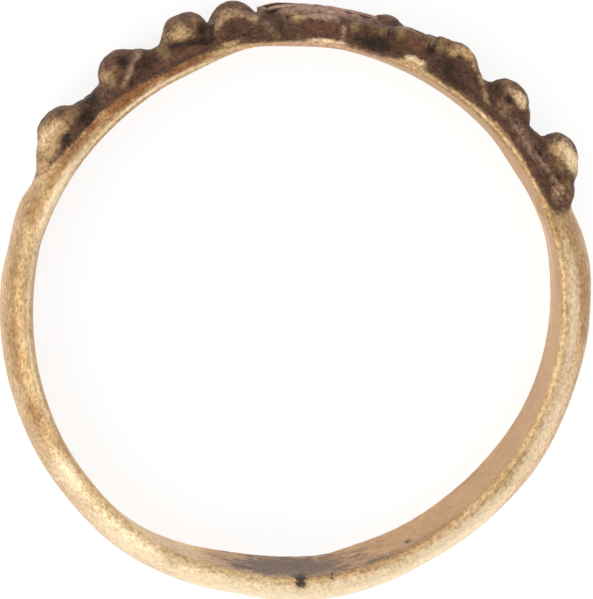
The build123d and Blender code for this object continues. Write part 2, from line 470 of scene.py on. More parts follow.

# %% [markdown]
# Pressing and pulling
#
# The marks that make this ring this one ring are pressed and pulled: hollows at the feet
# of the granules, the groove under the third, the lip of the curl, the worn corner of the
# block. A sculpting brush would do it, but a table of strokes can be read and changed. A
# stroke moves the skin along its own direction and fades out over its reach. Ridges, creases and
# the groove are lines instead: each follows a path of places on the side that faces up, stands
# up or goes down by its push, and later gets the stain that its row names.

# %% Strokes and lines of the bezel
Stroke = namedtuple("Stroke", "mark turn out rise reach push")
strokes = [
    Stroke("foot of the first", 55.3, 9.46, 3.1, 0.22, -0.12),
    Stroke("recess by the first", 49.5, 9.35, 3.1, 0.32, -0.16),
    Stroke("dent of the first", 52.2, 10.13, 3.0, 0.12, -0.05),
    Stroke("hollow of the second", 37.1, 10.00, 3.0, 0.18, -0.12),
    Stroke("beside the second", 33.4, 9.44, 3.1, 0.28, -0.10),
    Stroke("foot of the second", 43.6, 9.52, 3.1, 0.22, -0.06),
    Stroke("face of the curl", 16.0, 9.46, 3.1, 0.30, -0.10),
    Stroke("slope of the curl", 11.8, 9.26, 3.1, 0.22, -0.07),
    Stroke("panel", 3.0, 9.95, 1.3, 0.70, 0.08),
    Stroke("panel", -2.5, 9.95, 1.3, 0.70, 0.08),
    Stroke("panel", -8.0, 9.95, 1.3, 0.70, 0.08),
    Stroke("worn end of the panel", 9.6, 9.92, 0.5, 0.45, -0.15),
    Stroke("worn end of the panel", 9.6, 9.92, 1.3, 0.40, -0.15),
    Stroke("worn end of the panel", 9.6, 9.92, 2.1, 0.45, -0.15),
    Stroke("broad pillow", -1.4, 9.25, 3.1, 0.30, -0.06),
    Stroke("low pillow", -10.9, 9.35, 3.1, 0.34, -0.10),
    Stroke("raised pillow", -20.8, 9.50, 3.1, 0.25, 0.04),
    Stroke("under the raised pillow", -22.4, 8.95, 3.1, 0.25, 0.05),
    Stroke("knob by the block", -23.2, 9.95, 3.0, 0.12, 0.06),
    Stroke("worn top of the block", -29.1, 9.98, 3.0, 0.25, 0.04),
    Stroke("dark foot of the block", -29.6, 9.20, 3.1, 0.32, -0.10),
    Stroke("beside the block", -38.6, 9.68, 3.0, 0.18, -0.08),
    Stroke("pit of the fourth", -42.0, 9.75, 3.1, 0.14, -0.10),
    Stroke("hollow of the last", -53.4, 9.50, 3.1, 0.24, -0.08),
    Stroke("flat of the last", -56.7, 10.30, 2.9, 0.30, -0.05),
]
Line = namedtuple("Line", "mark path width push stain amount")
lines = [
    Line("ridge of the second", ((34.2, 9.90), (36.2, 9.72), (37.8, 9.54), (40.4, 9.34)),
         0.12, 0.10, "pink", 0.42),
    # painted shadow and patina along the groove under the third
    Line("groove under the third", ((28.0, 9.62), (24.8, 9.48), (21.6, 9.36)),
         0.12, -0.08, "dark", 0.62),
    # the lip of the curl is a worn ridge with a painted highlight
    Line("lip of the curl",
         ((19.2, 9.52), (18.6, 9.70), (17.2, 9.86), (15.0, 9.94), (13.0, 9.84), (11.2, 9.66)),
         0.10, 0.10, "gold", 0.36),
    Line("tail of the curl", ((11.2, 9.66), (9.6, 9.50), (8.4, 9.30), (7.4, 9.06)),
         0.11, 0.10, "pink", 0.26),
    Line("near rim of the panel", ((9.2, 10.02), (-2.0, 10.05), (-12.4, 10.00)),
         0.10, 0.02, "pink", 1.10),
    # painted highlight along the top of the near rim
    Line("top of the near rim", ((8.6, 10.06), (-2.0, 10.08), (-12.0, 10.04)),
         0.05, 0.0, "cream", 0.45),
    Line("left edge of the broad pillow", ((5.6, 9.62), (5.4, 9.30)), 0.08, 0.04, "olive", 0.50),
    # the right edge of the block is worn, with a painted highlight
    Line("right edge of the block", ((-31.0, 10.06), (-34.4, 9.72), (-39.0, 9.22)),
         0.10, 0.06, "gold", 0.40),
    Line("crease along the shoulder",
         ((-42.0, 9.26), (-44.9, 9.30), (-55.0, 9.32), (-61.8, 9.50), (-65.0, 9.60)),
         0.09, 0.06, "pink", 0.35),
]
print("strokes:", len(strokes), "lines:", len(lines))


# %% Press and pull
def line_weight(points, normals, path, width):
    """1 on the line through the places of a path, seen along the bore, fading over the width."""
    least = np.full(len(points), np.inf)
    stops = [np.array(at(turn, out, 0))[:2] for turn, out in path]
    for start, stop in zip(stops, stops[1:]):
        way = stop - start
        share = np.clip((points[:, :2] - start) @ way / (way @ way), 0, 1)
        gap = np.linalg.norm(points[:, :2] - start - share[:, None] * way, axis=1)
        least = np.minimum(least, gap)
    facing_up = ramp(points[:, 2], 1.8, 2.1) * ramp(normals[:, 2], 0.0, 0.5)
    return np.exp(-(least / width) ** 2) * facing_up


too_faint = 0.01                             # a stroke weaker than this leaves the skin alone
points, normals = points_of(skin), normals_of(skin)
for line in lines:
    weight = line_weight(points, normals, line.path, line.width)
    points += normals * (line.push * weight)[:, None]
for stroke in strokes:
    middle = np.array(at(stroke.turn, stroke.out, stroke.rise))
    weight = np.exp(-(np.linalg.norm(points - middle, axis=1) / stroke.reach) ** 2)
    near = weight > too_faint
    if not near.any():
        print("no skin near", stroke.mark)
        continue
    way = (normals[near] * weight[near, None]).sum(axis=0)
    way /= np.linalg.norm(way)
    points[near] += way * (stroke.push * weight[near])[:, None]
put_points(skin, points)
print("points pressed or pulled by the last stroke:", int(near.sum()))

# %% [markdown]
# The cast skin
#
# Sand and a worn mould leave soft lumps and small pits. They follow the surface, so Geometry
# Nodes make them: noise moves the skin in and out, more on the bezel than on the hoop and the
# panel, and pits are scattered at random, each with its own width, and pushed in around their
# points.

# %% Lumps
hoop_rough = 0.12                            # share of the bezel's lumps that the hoop gets
panel_smooth = 0.65                          # share of the lumps that the panel is spared
turn, out, rise = places(points_of(skin))
bezel = bezel_mask(turn)
on_panel = panel_mask(turn, out, rise, (12.4, 11.4), (1.2, 1.0), (9.7, 9.8))
store(skin, "bezel", bezel * ramp(out, 9.0, 9.3))
bezel_rough = bezel * ramp(out, 8.9, 9.2) * (1 - panel_smooth * on_panel)
store(skin, "rough", np.maximum(hoop_rough, bezel_rough))

cast_sizes = dict(LumpHeight=0.05, LumpSize=0.7, GrainHeight=0.018, GrainSize=0.16, PitsPerArea=1.0,
                  PitWidth=0.10, PitDepth=0.025, HollowRounds=70, CreaseRounds=8, Seed=11)
cast_tree, inlet, outlet = geometry_tree("cast_skin", **cast_sizes)
sizes = inlet.outputs
here = node(cast_tree, "GeometryNodeInputPosition").outputs["Position"]
normal = node(cast_tree, "GeometryNodeInputNormal").outputs["Normal"]


def maths(tree, operation, *values):
    """A Math node's result."""
    return node(tree, "ShaderNodeMath", dict(enumerate(values)), operation=operation).outputs[0]


def lumps(size, height):
    """Noise of that size, as a height above and below the skin."""
    scale = maths(cast_tree, "DIVIDE", 1.0, size)
    noise = node(cast_tree, "ShaderNodeTexNoise", {"Vector": here, "Scale": scale, "Detail": 2.0})
    centred = maths(cast_tree, "SUBTRACT", pick(noise.outputs), 0.5)
    return maths(cast_tree, "MULTIPLY", centred, maths(cast_tree, "MULTIPLY", height, 2.0))


soft = lumps(sizes["LumpSize"], sizes["LumpHeight"])
fine = lumps(sizes["GrainSize"], sizes["GrainHeight"])
rough = kept_value(cast_tree, "rough")
lumpy = maths(cast_tree, "MULTIPLY", maths(cast_tree, "ADD", soft, fine), rough)
print("share of the skin that is rough:", round(float((bezel_rough > hoop_rough).mean()), 2))

# %% Pits
per_area = maths(cast_tree, "MULTIPLY", sizes["PitsPerArea"], kept_value(cast_tree, "bezel"))
scattered = node(cast_tree, "GeometryNodeDistributePointsOnFaces",
                 {"Mesh": sizes["Geometry"], "Seed": sizes["Seed"], "Density": per_area})
pit_points = scattered.outputs["Points"]
nearest = node(cast_tree, "GeometryNodeSampleNearest", {"Geometry": pit_points}, domain="POINT")
chance = node(cast_tree, "FunctionNodeRandomValue", {"Min": 0.35, "Max": 1.0}, data_type="FLOAT")
sampled = node(cast_tree, "GeometryNodeSampleIndex",
               {"Geometry": pit_points, "Value": pick(chance.outputs),
                "Index": pick(nearest.outputs)},
               data_type="FLOAT", domain="POINT")
share = pick(sampled.outputs)
away = node(cast_tree, "GeometryNodeProximity", {"Geometry": pit_points}, target_element="POINTS")
width = maths(cast_tree, "MULTIPLY", sizes["PitWidth"], share)
reach = maths(cast_tree, "DIVIDE", pick(away.outputs, "Distance"), width)
pit = maths(cast_tree, "SUBTRACT", 1.0, maths(cast_tree, "SMOOTH_MIN", 1.0, reach, 0.2))
full_depth = maths(cast_tree, "MULTIPLY", pit, sizes["PitDepth"])
pit_depth = maths(cast_tree, "MULTIPLY", full_depth, share)
height = maths(cast_tree, "SUBTRACT", lumpy, pit_depth)
offset = node(cast_tree, "ShaderNodeVectorMath", {0: normal, "Scale": height}, operation="SCALE")
moved = node(cast_tree, "GeometryNodeSetPosition",
             {"Geometry": sizes["Geometry"], "Offset": offset.outputs[0]})
print("pits: up to", cast_sizes["PitWidth"], "mm wide and", cast_sizes["PitDepth"], "mm deep")

# %% [markdown]
# What the skin tells the finish
#
# The tree also keeps three numbers for the finish: how deep in a pit a point is, how far it lies
# in a hollow, which is the way to the averaged skin measured along the normal, and the same for
# fine creases, averaged less.

# %% Pits, hollows and creases for the finish
skin_now = node(cast_tree, "GeometryNodeStoreNamedAttribute",
                {"Geometry": moved.outputs[0], "Name": "pit", "Value": pit},
                data_type="FLOAT", domain="POINT").outputs[0]
for name, rounds in (("hollow", "HollowRounds"), ("crease", "CreaseRounds")):
    mean = node(cast_tree, "GeometryNodeBlurAttribute",
                {"Value": here, "Iterations": sizes[rounds]}, data_type="FLOAT_VECTOR")
    way = node(cast_tree, "ShaderNodeVectorMath", {0: pick(mean.outputs), 1: here},
               operation="SUBTRACT")
    depth = node(cast_tree, "ShaderNodeVectorMath", {0: way.outputs[0], 1: normal},
                 operation="DOT_PRODUCT")
    skin_now = node(cast_tree, "GeometryNodeStoreNamedAttribute",
                    {"Geometry": skin_now, "Name": name, "Value": pick(depth.outputs)},
                    data_type="FLOAT", domain="POINT").outputs[0]
close_tree(cast_tree, skin_now, outlet)
ring = new_object("ring_cast", skin)
run_tree(ring, cast_tree, **cast_sizes)
skin = applied(ring)
for name in ("hollow", "crease"):
    found = np.array([entry.value for entry in skin.attributes[name].data])
    print(name, "from", *np.round(np.percentile(found, (1, 5, 95, 99)), 3))

# %% [markdown]
# Fewer faces where it is plain
#
# The skin is fine everywhere, which the plain hoop doesn't need. Decimate takes faces away where
# that changes the form least.

# %% Thin the skin
most_triangles = 190000
ring = new_object("ring_cast", skin)
thin = ring.modifiers.new("thin", "DECIMATE")
thin.ratio = min(1.0, most_triangles / (2 * len(skin.polygons)))
thin.use_collapse_triangulate = True
skin = applied(ring)
print("triangles:", len(skin.polygons))

# %% [markdown]
# Where the tarnish lies
#
# The hoop is rubbed bright by skin and cloth. The bezel kept its brown tarnish from a line a
# little outside the finger hole, and the line wanders. A table of places gives it. Between the
# rows it runs straight, and the noise in the finish breaks it up. The mesh keeps how far a point
# lies past the line, and the finish makes the edge from that, so no triangle shows in it.

# %% Tarnish mask
Edge = namedtuple("Edge", "turn out")
tarnish_edge = [
    Edge(72, 9.85), Edge(67, 9.60), Edge(62, 9.36), Edge(56, 9.18), Edge(50, 9.12), Edge(45, 9.14),
    Edge(38, 9.05), Edge(31, 8.93), Edge(26, 8.97), Edge(20, 8.96), Edge(13, 8.90), Edge(6, 8.83),
    Edge(0, 8.83), Edge(-5, 8.82), Edge(-9, 8.76), Edge(-15, 8.72), Edge(-18, 8.86),
    Edge(-22, 9.02), Edge(-25, 8.86), Edge(-30, 8.82), Edge(-38, 8.86), Edge(-45, 8.92),
    Edge(-52, 8.87), Edge(-57, 8.80), Edge(-65, 8.88), Edge(-70, 9.00),
]
turn, out, rise = places(points_of(skin))
rows = tarnish_edge[::-1]
edge_out = np.interp(turn, [row.turn for row in rows], [row.out for row in rows])
store(skin, "past_edge", out - edge_out)
store(skin, "in_bezel", ramp(turn, 74, 64) * ramp(turn, -70, -64))
bore_edge, bore_fade = 8.79, 0.10            # where the finger hole's wall ends, mm from the axis
side_edge, side_fade = 1.55, 0.14            # and mm from the middle of the hoop's width
past_sides = (side_edge - np.abs(rise - hoop_width / 2)) / side_fade
store(skin, "finger_side", np.minimum((bore_edge - out) / bore_fade, past_sides))
print("share of the skin past the tarnish line:", round(float((out > edge_out).mean()), 2))

# %% [markdown]
# Stains, rubbed places and painted light
#
# Old brass isn't one colour. Where the tarnish is rubbed through it shows gold or a red copper,
# in the corners it is nearly black, and in between it turns olive or a dull pink. Each stain is
# a soft oval on the side that faces up, and its kind names its colour. The lines
# of the bezel carry a stain too, and smears lie in the finger hole, placed by their height.
# Some stains are painted light and shade as well: the pale ones on the hoop, some brown ones on its
# right side and inner edge, the gold and cream on the granule tops and ridges, and part of the dark
# in the corners.

# %% Stains
Stain = namedtuple("Stain", "kind turn out along wide amount")
stains = [
    # the first granule; its gold and cream are worn metal with a painted highlight
    Stain("gold", 62.6, 9.58, 3.0, 0.24, 0.80),
    Stain("gold", 59.0, 9.74, 3.2, 0.32, 1.00),
    Stain("cream", 57.6, 9.98, 3.4, 0.20, 0.70),
    Stain("copper", 56.4, 9.98, 1.0, 0.10, 0.75),
    Stain("gold", 55.4, 9.92, 3.0, 0.34, 1.10),
    Stain("dark", 55.3, 9.47, 1.3, 0.10, 0.90),
    Stain("copper", 53.8, 10.04, 1.2, 0.15, 1.00),
    Stain("dark", 52.6, 10.10, 1.3, 0.10, 0.62),
    Stain("olive", 51.4, 9.78, 1.8, 0.26, 1.00),
    Stain("dark", 49.4, 9.42, 2.4, 0.20, 0.90),
    # the second and its side; the gold on its top is worn metal with a painted highlight
    Stain("dark", 46.4, 9.66, 2.2, 0.32, 0.80),
    Stain("pink", 44.6, 9.58, 2.0, 0.22, 0.36),
    Stain("pink", 43.6, 9.86, 1.2, 0.20, 0.50),
    Stain("pink", 42.2, 9.60, 1.4, 0.20, 0.30),
    Stain("gold", 41.8, 9.98, 1.4, 0.26, 0.50),
    Stain("olive", 41.6, 9.80, 1.8, 0.34, 0.80),
    Stain("copper", 41.0, 10.10, 2.4, 0.12, 0.60),
    Stain("dark", 37.6, 9.98, 1.2, 0.22, 0.90),
    Stain("dark", 33.4, 9.50, 2.2, 0.26, 0.70),
    # the third and its foot; the gold on its top is worn metal with a painted highlight
    Stain("olive", 30.0, 9.56, 1.2, 0.30, 0.80),
    Stain("olive", 26.5, 9.80, 3.4, 0.34, 0.50),
    Stain("gold", 26.0, 9.88, 2.6, 0.28, 0.85),
    Stain("copper", 25.6, 9.24, 4.2, 0.16, 0.75),
    Stain("copper", 25.0, 9.90, 2.0, 0.16, 0.45),
    Stain("dark", 21.4, 9.72, 1.2, 0.24, 0.80),
    Stain("dark", 20.6, 9.34, 1.2, 0.12, 0.60),
    # the curl; the gold on its top is worn metal with a painted highlight
    Stain("gold", 17.4, 9.06, 2.2, 0.10, 0.95),
    Stain("gold", 15.8, 9.94, 3.0, 0.16, 0.60),
    Stain("copper", 15.8, 9.50, 2.6, 0.20, 0.35),
    Stain("copper", 15.4, 10.12, 2.2, 0.10, 0.50),
    Stain("dark", 13.4, 9.24, 2.2, 0.10, 0.50),
    # the panel and the pillows
    Stain("pink", 7.6, 9.98, 2.0, 0.12, 0.60),
    Stain("dark", 6.2, 9.40, 1.4, 0.30, 0.55),
    Stain("olive", 3.3, 9.56, 1.5, 0.16, 1.00),
    Stain("gold", 2.8, 9.64, 1.4, 0.09, 0.75),
    Stain("pink", 2.0, 8.78, 18.0, 0.09, 0.90),
    Stain("copper", -1.2, 9.30, 4.0, 0.24, 0.80),
    Stain("pink", -1.8, 9.68, 3.6, 0.12, 0.90),
    Stain("pink", -3.0, 9.90, 11.0, 0.20, 0.75),
    Stain("cream", -3.0, 8.90, 4.6, 0.08, 0.95),
    Stain("pink", -6.2, 9.30, 0.7, 0.26, 0.60),
    Stain("olive", -8.2, 9.48, 1.0, 0.20, 0.80),
    Stain("dark", -8.9, 9.14, 1.1, 0.14, 0.60),
    Stain("olive", -12.6, 9.50, 2.4, 0.12, 0.50),
    Stain("dark", -12.8, 9.12, 4.2, 0.28, 0.95),
    # the raised pillow
    Stain("olive", -17.2, 9.62, 1.4, 0.22, 0.50),
    Stain("pink", -18.8, 9.90, 2.4, 0.07, 0.60),
    Stain("copper", -20.6, 9.50, 1.9, 0.26, 1.00),
    Stain("cream", -21.8, 9.02, 2.4, 0.14, 1.00),
    # the block; the gold along its top is worn metal with a painted highlight
    Stain("olive", -25.0, 9.84, 1.4, 0.24, 0.95),
    Stain("gold", -27.6, 9.84, 1.6, 0.16, 0.70),
    Stain("dark", -28.6, 9.38, 3.6, 0.34, 0.70),
    Stain("gold", -29.6, 10.06, 2.4, 0.18, 1.00),
    Stain("dark", -31.0, 9.12, 3.6, 0.18, 0.70),
    Stain("dark", -38.4, 9.80, 1.0, 0.20, 0.60),
    # the fourth; its gold and cream are worn metal with a painted highlight
    Stain("dark", -42.0, 9.80, 1.5, 0.10, 0.72),
    Stain("olive", -42.6, 9.48, 2.0, 0.18, 0.70),
    Stain("gold", -43.2, 10.02, 2.6, 0.20, 1.00),
    Stain("cream", -43.6, 10.02, 2.2, 0.18, 0.60),
    # the last granule and the shoulder; the cream on its top is worn metal with a painted highlight
    Stain("pink", -50.0, 9.36, 9.0, 0.24, 0.42),
    Stain("dark", -50.4, 9.66, 1.8, 0.20, 0.50),
    # painted shade beside the last granule
    Stain("dark", -53.2, 9.60, 1.8, 0.20, 0.35),
    Stain("gold", -55.2, 9.96, 1.8, 0.26, 0.75),
    Stain("cream", -57.8, 10.24, 3.2, 0.24, 1.15),
    Stain("olive", -58.0, 9.84, 2.2, 0.24, 0.75),
    Stain("olive", -61.4, 9.72, 2.4, 0.24, 0.55),
    Stain("pink", -62.0, 9.30, 3.6, 0.20, 0.32),
    Stain("gold", -63.0, 9.38, 3.6, 0.20, 0.40),
    # round the hoop
    Stain("orange", 52.0, 9.04, 8.0, 0.20, 0.80),
    Stain("orange", 40.0, 8.98, 10.0, 0.24, 1.05),
    Stain("orange", 28.0, 8.90, 8.0, 0.18, 1.05),
    Stain("brown", 168.0, 8.82, 18.0, 0.09, 0.45),
    Stain("brown", 113.0, 9.14, 6.0, 0.28, 0.85),
    Stain("brown", 100.0, 9.28, 11.0, 0.26, 0.70),
    Stain("brown", 82.0, 9.32, 12.0, 0.20, 0.70),
    Stain("brown", 71.0, 9.30, 6.0, 0.36, 0.75),
    # Brown at 60 and along the inner edge at -42 and -67 is painted shade that dulls reflections;
    # from -71 to -122 it is painted shade on the outer facets that turn from the light.
    Stain("brown", 60.0, 9.10, 8.0, 0.34, 0.90),
    Stain("brown", -42.0, 8.82, 22.0, 0.16, 1.00),
    Stain("brown", -67.0, 8.84, 8.0, 0.14, 1.00),
    Stain("brown", -71.0, 9.40, 6.0, 0.34, 0.95),
    Stain("brown", -84.0, 9.52, 12.0, 0.28, 1.15),
    Stain("brown", -102.0, 9.56, 12.0, 0.16, 0.60),
    Stain("brown", -122.0, 9.66, 14.0, 0.10, 0.45),
    Stain("brown", -130.0, 8.80, 18.0, 0.08, 0.60),
    Stain("brown", -164.0, 8.82, 24.0, 0.10, 0.70),
    # The pale stains are painted light: a painted pool of light on the lower left and bottom, a
    # painted bright facet on the right and painted highlights along the inner edge.
    Stain("pale", 172.0, 9.40, 20.0, 0.46, 1.25),
    Stain("pale", 147.0, 9.35, 15.0, 0.50, 0.90),
    Stain("pale", 129.0, 9.20, 8.0, 0.40, 0.80),
    Stain("pale", 104.0, 8.77, 16.0, 0.06, 0.70),
    Stain("pale", 92.0, 9.74, 26.0, 0.10, 0.60),
    Stain("pale", 84.0, 8.77, 14.0, 0.08, 0.80),
    Stain("pale", 66.0, 8.78, 12.0, 0.16, 1.00),
    Stain("pale", 40.0, 8.69, 34.0, 0.05, 0.85),
    Stain("pale", -40.0, 8.79, 22.0, 0.06, 0.42),
    Stain("pale", -90.0, 9.08, 17.0, 0.20, 0.85),
    Stain("pale", -115.0, 9.12, 18.0, 0.26, 0.95),
    Stain("pale", -142.0, 9.18, 19.0, 0.34, 1.25),
    Stain("pale", -165.0, 9.36, 18.0, 0.44, 1.35),
    Stain("smoke", -169.8, 8.82, 0.6, 0.08, 0.70),
    Stain("smoke", -176.5, 8.88, 1.0, 0.20, 1.20),
    Stain("pink", 88.0, 9.62, 22.0, 0.16, 0.36),
    Stain("pink", -104.0, 9.20, 36.0, 0.30, 0.36),
    Stain("pink", -138.0, 9.62, 26.0, 0.16, 0.50),
]
print("stains:", len(stains))

# %% Smears, and the stains kept on the mesh
Smear = namedtuple("Smear", "kind turn rise along high amount")
smears = [
    Smear("smoke", 171.5, 2.30, 3.0, 0.35, 0.90),
    Smear("smoke", 176.0, 2.50, 3.5, 0.36, 0.45),
    Smear("smoke", -176.5, 3.00, 1.4, 0.60, 1.30),
    Smear("grey", -178.0, 1.80, 14.0, 1.80, 1.15),
    Smear("smoke", -169.8, 3.00, 0.8, 0.14, 0.80),
    Smear("smoke", -151.4, 2.30, 0.7, 0.20, 1.10),
    Smear("grey", -160.0, 2.70, 6.0, 0.40, 0.60),
    Smear("brown", -150.0, 2.90, 14.0, 0.30, 0.60),
]
kinds = ("gold", "cream", "olive", "copper", "pink", "dark", "orange", "brown", "pale", "smoke",
         "grey")
stain_of = {kind: np.zeros(len(turn)) for kind in kinds}
points, normals = points_of(skin), normals_of(skin)
facing = ramp(rise, 0.5, 1.5) * ramp(normals[:, 2], -0.25, 0.25)
in_bore = ramp(out, 8.85, 8.75)


def lay(kind, soft):
    """Lay a soft stain with the others of its kind. Where two meet, the stronger one counts."""
    stain_of[kind] = np.maximum(stain_of[kind], soft)


for stain in stains:
    around, away = degrees_from(turn, stain.turn) / stain.along, (out - stain.out) / stain.wide
    gap = around ** 2 + away ** 2
    lay(stain.kind, stain.amount * np.exp(-gap) * facing)
for line in lines:
    lay(line.stain, line.amount * line_weight(points, normals, line.path, 1.3 * line.width))
for smear in smears:
    around, above = degrees_from(turn, smear.turn) / smear.along, (rise - smear.rise) / smear.high
    gap = around ** 2 + above ** 2
    lay(smear.kind, smear.amount * np.exp(-gap) * in_bore)
for kind in kinds:
    store(skin, kind, stain_of[kind])
print("with lines and smears:", len(stains) + len(lines) + len(smears), "of", len(kinds), "kinds")

# %% [markdown]
# Shader groups
#
# Three effects come back all over the finish: a patchy mask that breaks up edges, a grain that
# runs round the hoop, short where it was sanded and long where it is scratched, and a stain that
# goes over a colour and is broken up by a mask. Each is a group, built once. The grain runs
# round without a seam, because it is a noise in four dimensions: two follow a circle slowly, and
# two cross the hoop quickly.

# %% Group for patches
def shader_group(name, ins, outs):
    """A shader group with named sockets. A colour has four numbers and a vector three."""
    tree = bpy.data.node_groups.new(name, "ShaderNodeTree")
    for label, value in ins.items():
        size = len(value) if isinstance(value, tuple) else 1
        kind = {1: "NodeSocketFloat", 3: "NodeSocketVector", 4: "NodeSocketColor"}[size]
        socket = tree.interface.new_socket(label, in_out="INPUT", socket_type=kind)
        socket.default_value = value
    for label, kind in outs.items():
        tree.interface.new_socket(label, in_out="OUTPUT", socket_type=kind)
    return tree, tree.nodes.new("NodeGroupInput").outputs, tree.nodes.new("NodeGroupOutput").inputs


def share_of(tree, value, low, high, start=0.0, end=1.0):
    """A value read between low and high as a number from start to end, smoothly and no further."""
    made = node(tree, "ShaderNodeMapRange",
                {"Value": value, "From Min": low, "From Max": high, "To Min": start, "To Max": end},
                interpolation_type="SMOOTHSTEP")
    return made.outputs[0]


patch_group, ins, outs = shader_group(
    "patches", {"Place": (0.0, 0.0, 0.0), "Size": 0.5, "Cover": 0.5, "Soft": 0.1},
    {"Mask": "NodeSocketFloat"})
noise = node(patch_group, "ShaderNodeTexNoise",
             {"Vector": ins["Place"], "Scale": maths(patch_group, "DIVIDE", 1.0, ins["Size"]),
              "Detail": 4.0, "Roughness": 0.65})
middle = maths(patch_group, "SUBTRACT", 1.0, ins["Cover"])
low, high = (maths(patch_group, sign, middle, ins["Soft"]) for sign in ("SUBTRACT", "ADD"))
patch_group.links.new(share_of(patch_group, noise.outputs[0], low, high), outs["Mask"])
print("group:", patch_group.name)

# %% Group for the grain
hoop_out = 9.2                               # from the axis to the middle of the metal, mm
grain_group, ins, outs = shader_group(
    "round_grain", {"Place": (0.0, 0.0, 0.0), "Length": 1.0, "Width": 0.08},
    {"Height": "NodeSocketFloat"})
split = node(grain_group, "ShaderNodeSeparateXYZ", {0: ins["Place"]})
x = split.outputs["X"]
y = maths(grain_group, "SUBTRACT", split.outputs["Y"], bore_middle.y)
far = maths(grain_group, "SQRT", maths(grain_group, "ADD", maths(grain_group, "MULTIPLY", x, x),
                                       maths(grain_group, "MULTIPLY", y, y)))
slow = maths(grain_group, "DIVIDE", hoop_out, ins["Length"])
fast = maths(grain_group, "DIVIDE", 1.0, ins["Width"])
spun = node(grain_group, "ShaderNodeCombineXYZ",
            {"X": maths(grain_group, "MULTIPLY", maths(grain_group, "DIVIDE", x, far), slow),
             "Y": maths(grain_group, "MULTIPLY", maths(grain_group, "DIVIDE", y, far), slow),
             "Z": maths(grain_group, "MULTIPLY", far, fast)})
upwards = maths(grain_group, "MULTIPLY", split.outputs["Z"], fast)
noise = node(grain_group, "ShaderNodeTexNoise",
             {"Vector": spun.outputs[0], "W": upwards, "Scale": 1.0, "Detail": 3.0,
              "Roughness": 0.6}, noise_dimensions="4D")
grain_group.links.new(noise.outputs[0], outs["Height"])
print("group:", grain_group.name)


# %% Group for stains
def about_zero(tree, mask, width):
    """A mask from 0 to 1 as a number that swings about zero over that width."""
    return maths(tree, "MULTIPLY", maths(tree, "SUBTRACT", mask, 0.5), width)


stain_group, ins, outs = shader_group(
    "stained",
    {"Base": (0.5, 0.5, 0.5, 1.0), "Stain": (0.5, 0.5, 0.5, 1.0), "Amount": 0.5, "Break": 0.5},
    {"Color": "NodeSocketColor"})
broken = maths(stain_group, "ADD", ins["Amount"], about_zero(stain_group, ins["Break"], 0.8))
how_much = maths(stain_group, "MULTIPLY", share_of(stain_group, broken, 0.05, 0.9),
                 share_of(stain_group, ins["Amount"], 0.0, 0.2))
mixed = node(stain_group, "ShaderNodeMix",
             {"Factor": how_much, "A": ins["Base"], "B": ins["Stain"]}, data_type="RGBA")
stain_group.links.new(pick(mixed.outputs), outs["Color"])
print("group:", stain_group.name)


def use(tree, group, **sockets):
    """Place a group in a material with its own values. Gives its first output."""
    made = tree.nodes.new("ShaderNodeGroup")
    made.node_tree = group
    for label, value in sockets.items():
        if isinstance(value, bpy.types.NodeSocket):
            tree.links.new(value, made.inputs[label])
        else:
            made.inputs[label].default_value = value
    return made.outputs[0]


# %% [markdown]
# Numbers for the finish
#
# One material covers the casting. It knows where it is from the numbers that the mesh keeps and
# from patches of noise in three sizes. All patterns are measured in millimetres, so the object's
# own coordinates are scaled up first.

# %% Masks for the finish
metal.use_nodes = True
tree = metal.node_tree
shader = tree.nodes["Principled BSDF"]
own_place = node(tree, "ShaderNodeTexCoord").outputs["Object"]
place = node(tree, "ShaderNodeMapping", {"Vector": own_place, "Scale": (1 / MM,) * 3}).outputs[0]


def kept_number(name):
    """The number that the mesh keeps under that name, for the material."""
    return node(tree, "ShaderNodeAttribute", attribute_name=name).outputs["Fac"]


def blend(factor, first, second, data_type="RGBA"):
    """From the first colour to the second."""
    made = node(tree, "ShaderNodeMix", {"Factor": factor, "A": first, "B": second},
                data_type=data_type)
    return pick(made.outputs)


def mix_numbers(factor, first, second):
    """From the first number to the second."""
    return blend(factor, first, second, "FLOAT")


hollow, crease, pit = kept_number("hollow"), kept_number("crease"), kept_number("pit")
broad = use(tree, patch_group, Place=place, Size=1.6, Cover=0.5, Soft=0.18)
small = use(tree, patch_group, Place=place, Size=0.35, Cover=0.5, Soft=0.28)
fine = use(tree, patch_group, Place=place, Size=0.09, Cover=0.5, Soft=0.28)
uneven = mix_numbers(0.45, small, fine)
sanded = use(tree, grain_group, Place=place, Length=0.13, Width=0.075)
scratches = use(tree, grain_group, Place=place, Length=1.6, Width=0.04)
ragged = maths(tree, "ADD", kept_number("finger_side"), about_zero(tree, fine, 0.8))
in_bore = share_of(tree, ragged, 0.0, 1.0)
print("nodes for masks:", len(tree.nodes))

# %% [markdown]
# The bare brass
#
# Clean metal runs from ochre to pale gold in patches, with a duller mottle. Brown, orange, pale
# and pink stains go over it; the pale ones are painted light and some brown ones painted shade.
# The wall of the finger hole has a plainer colour of its own, with brown and grey smears, and the
# darkest smears cross from one to the other.

# %% Bare brass
def stained(base, kind, colour, broken_by):
    """The base colour with one kind of stain over it, as strong as the mesh keeps it."""
    amount = kept_number(kind)
    return use(tree, stain_group, Base=base, Stain=colour, Amount=amount, Break=broken_by)


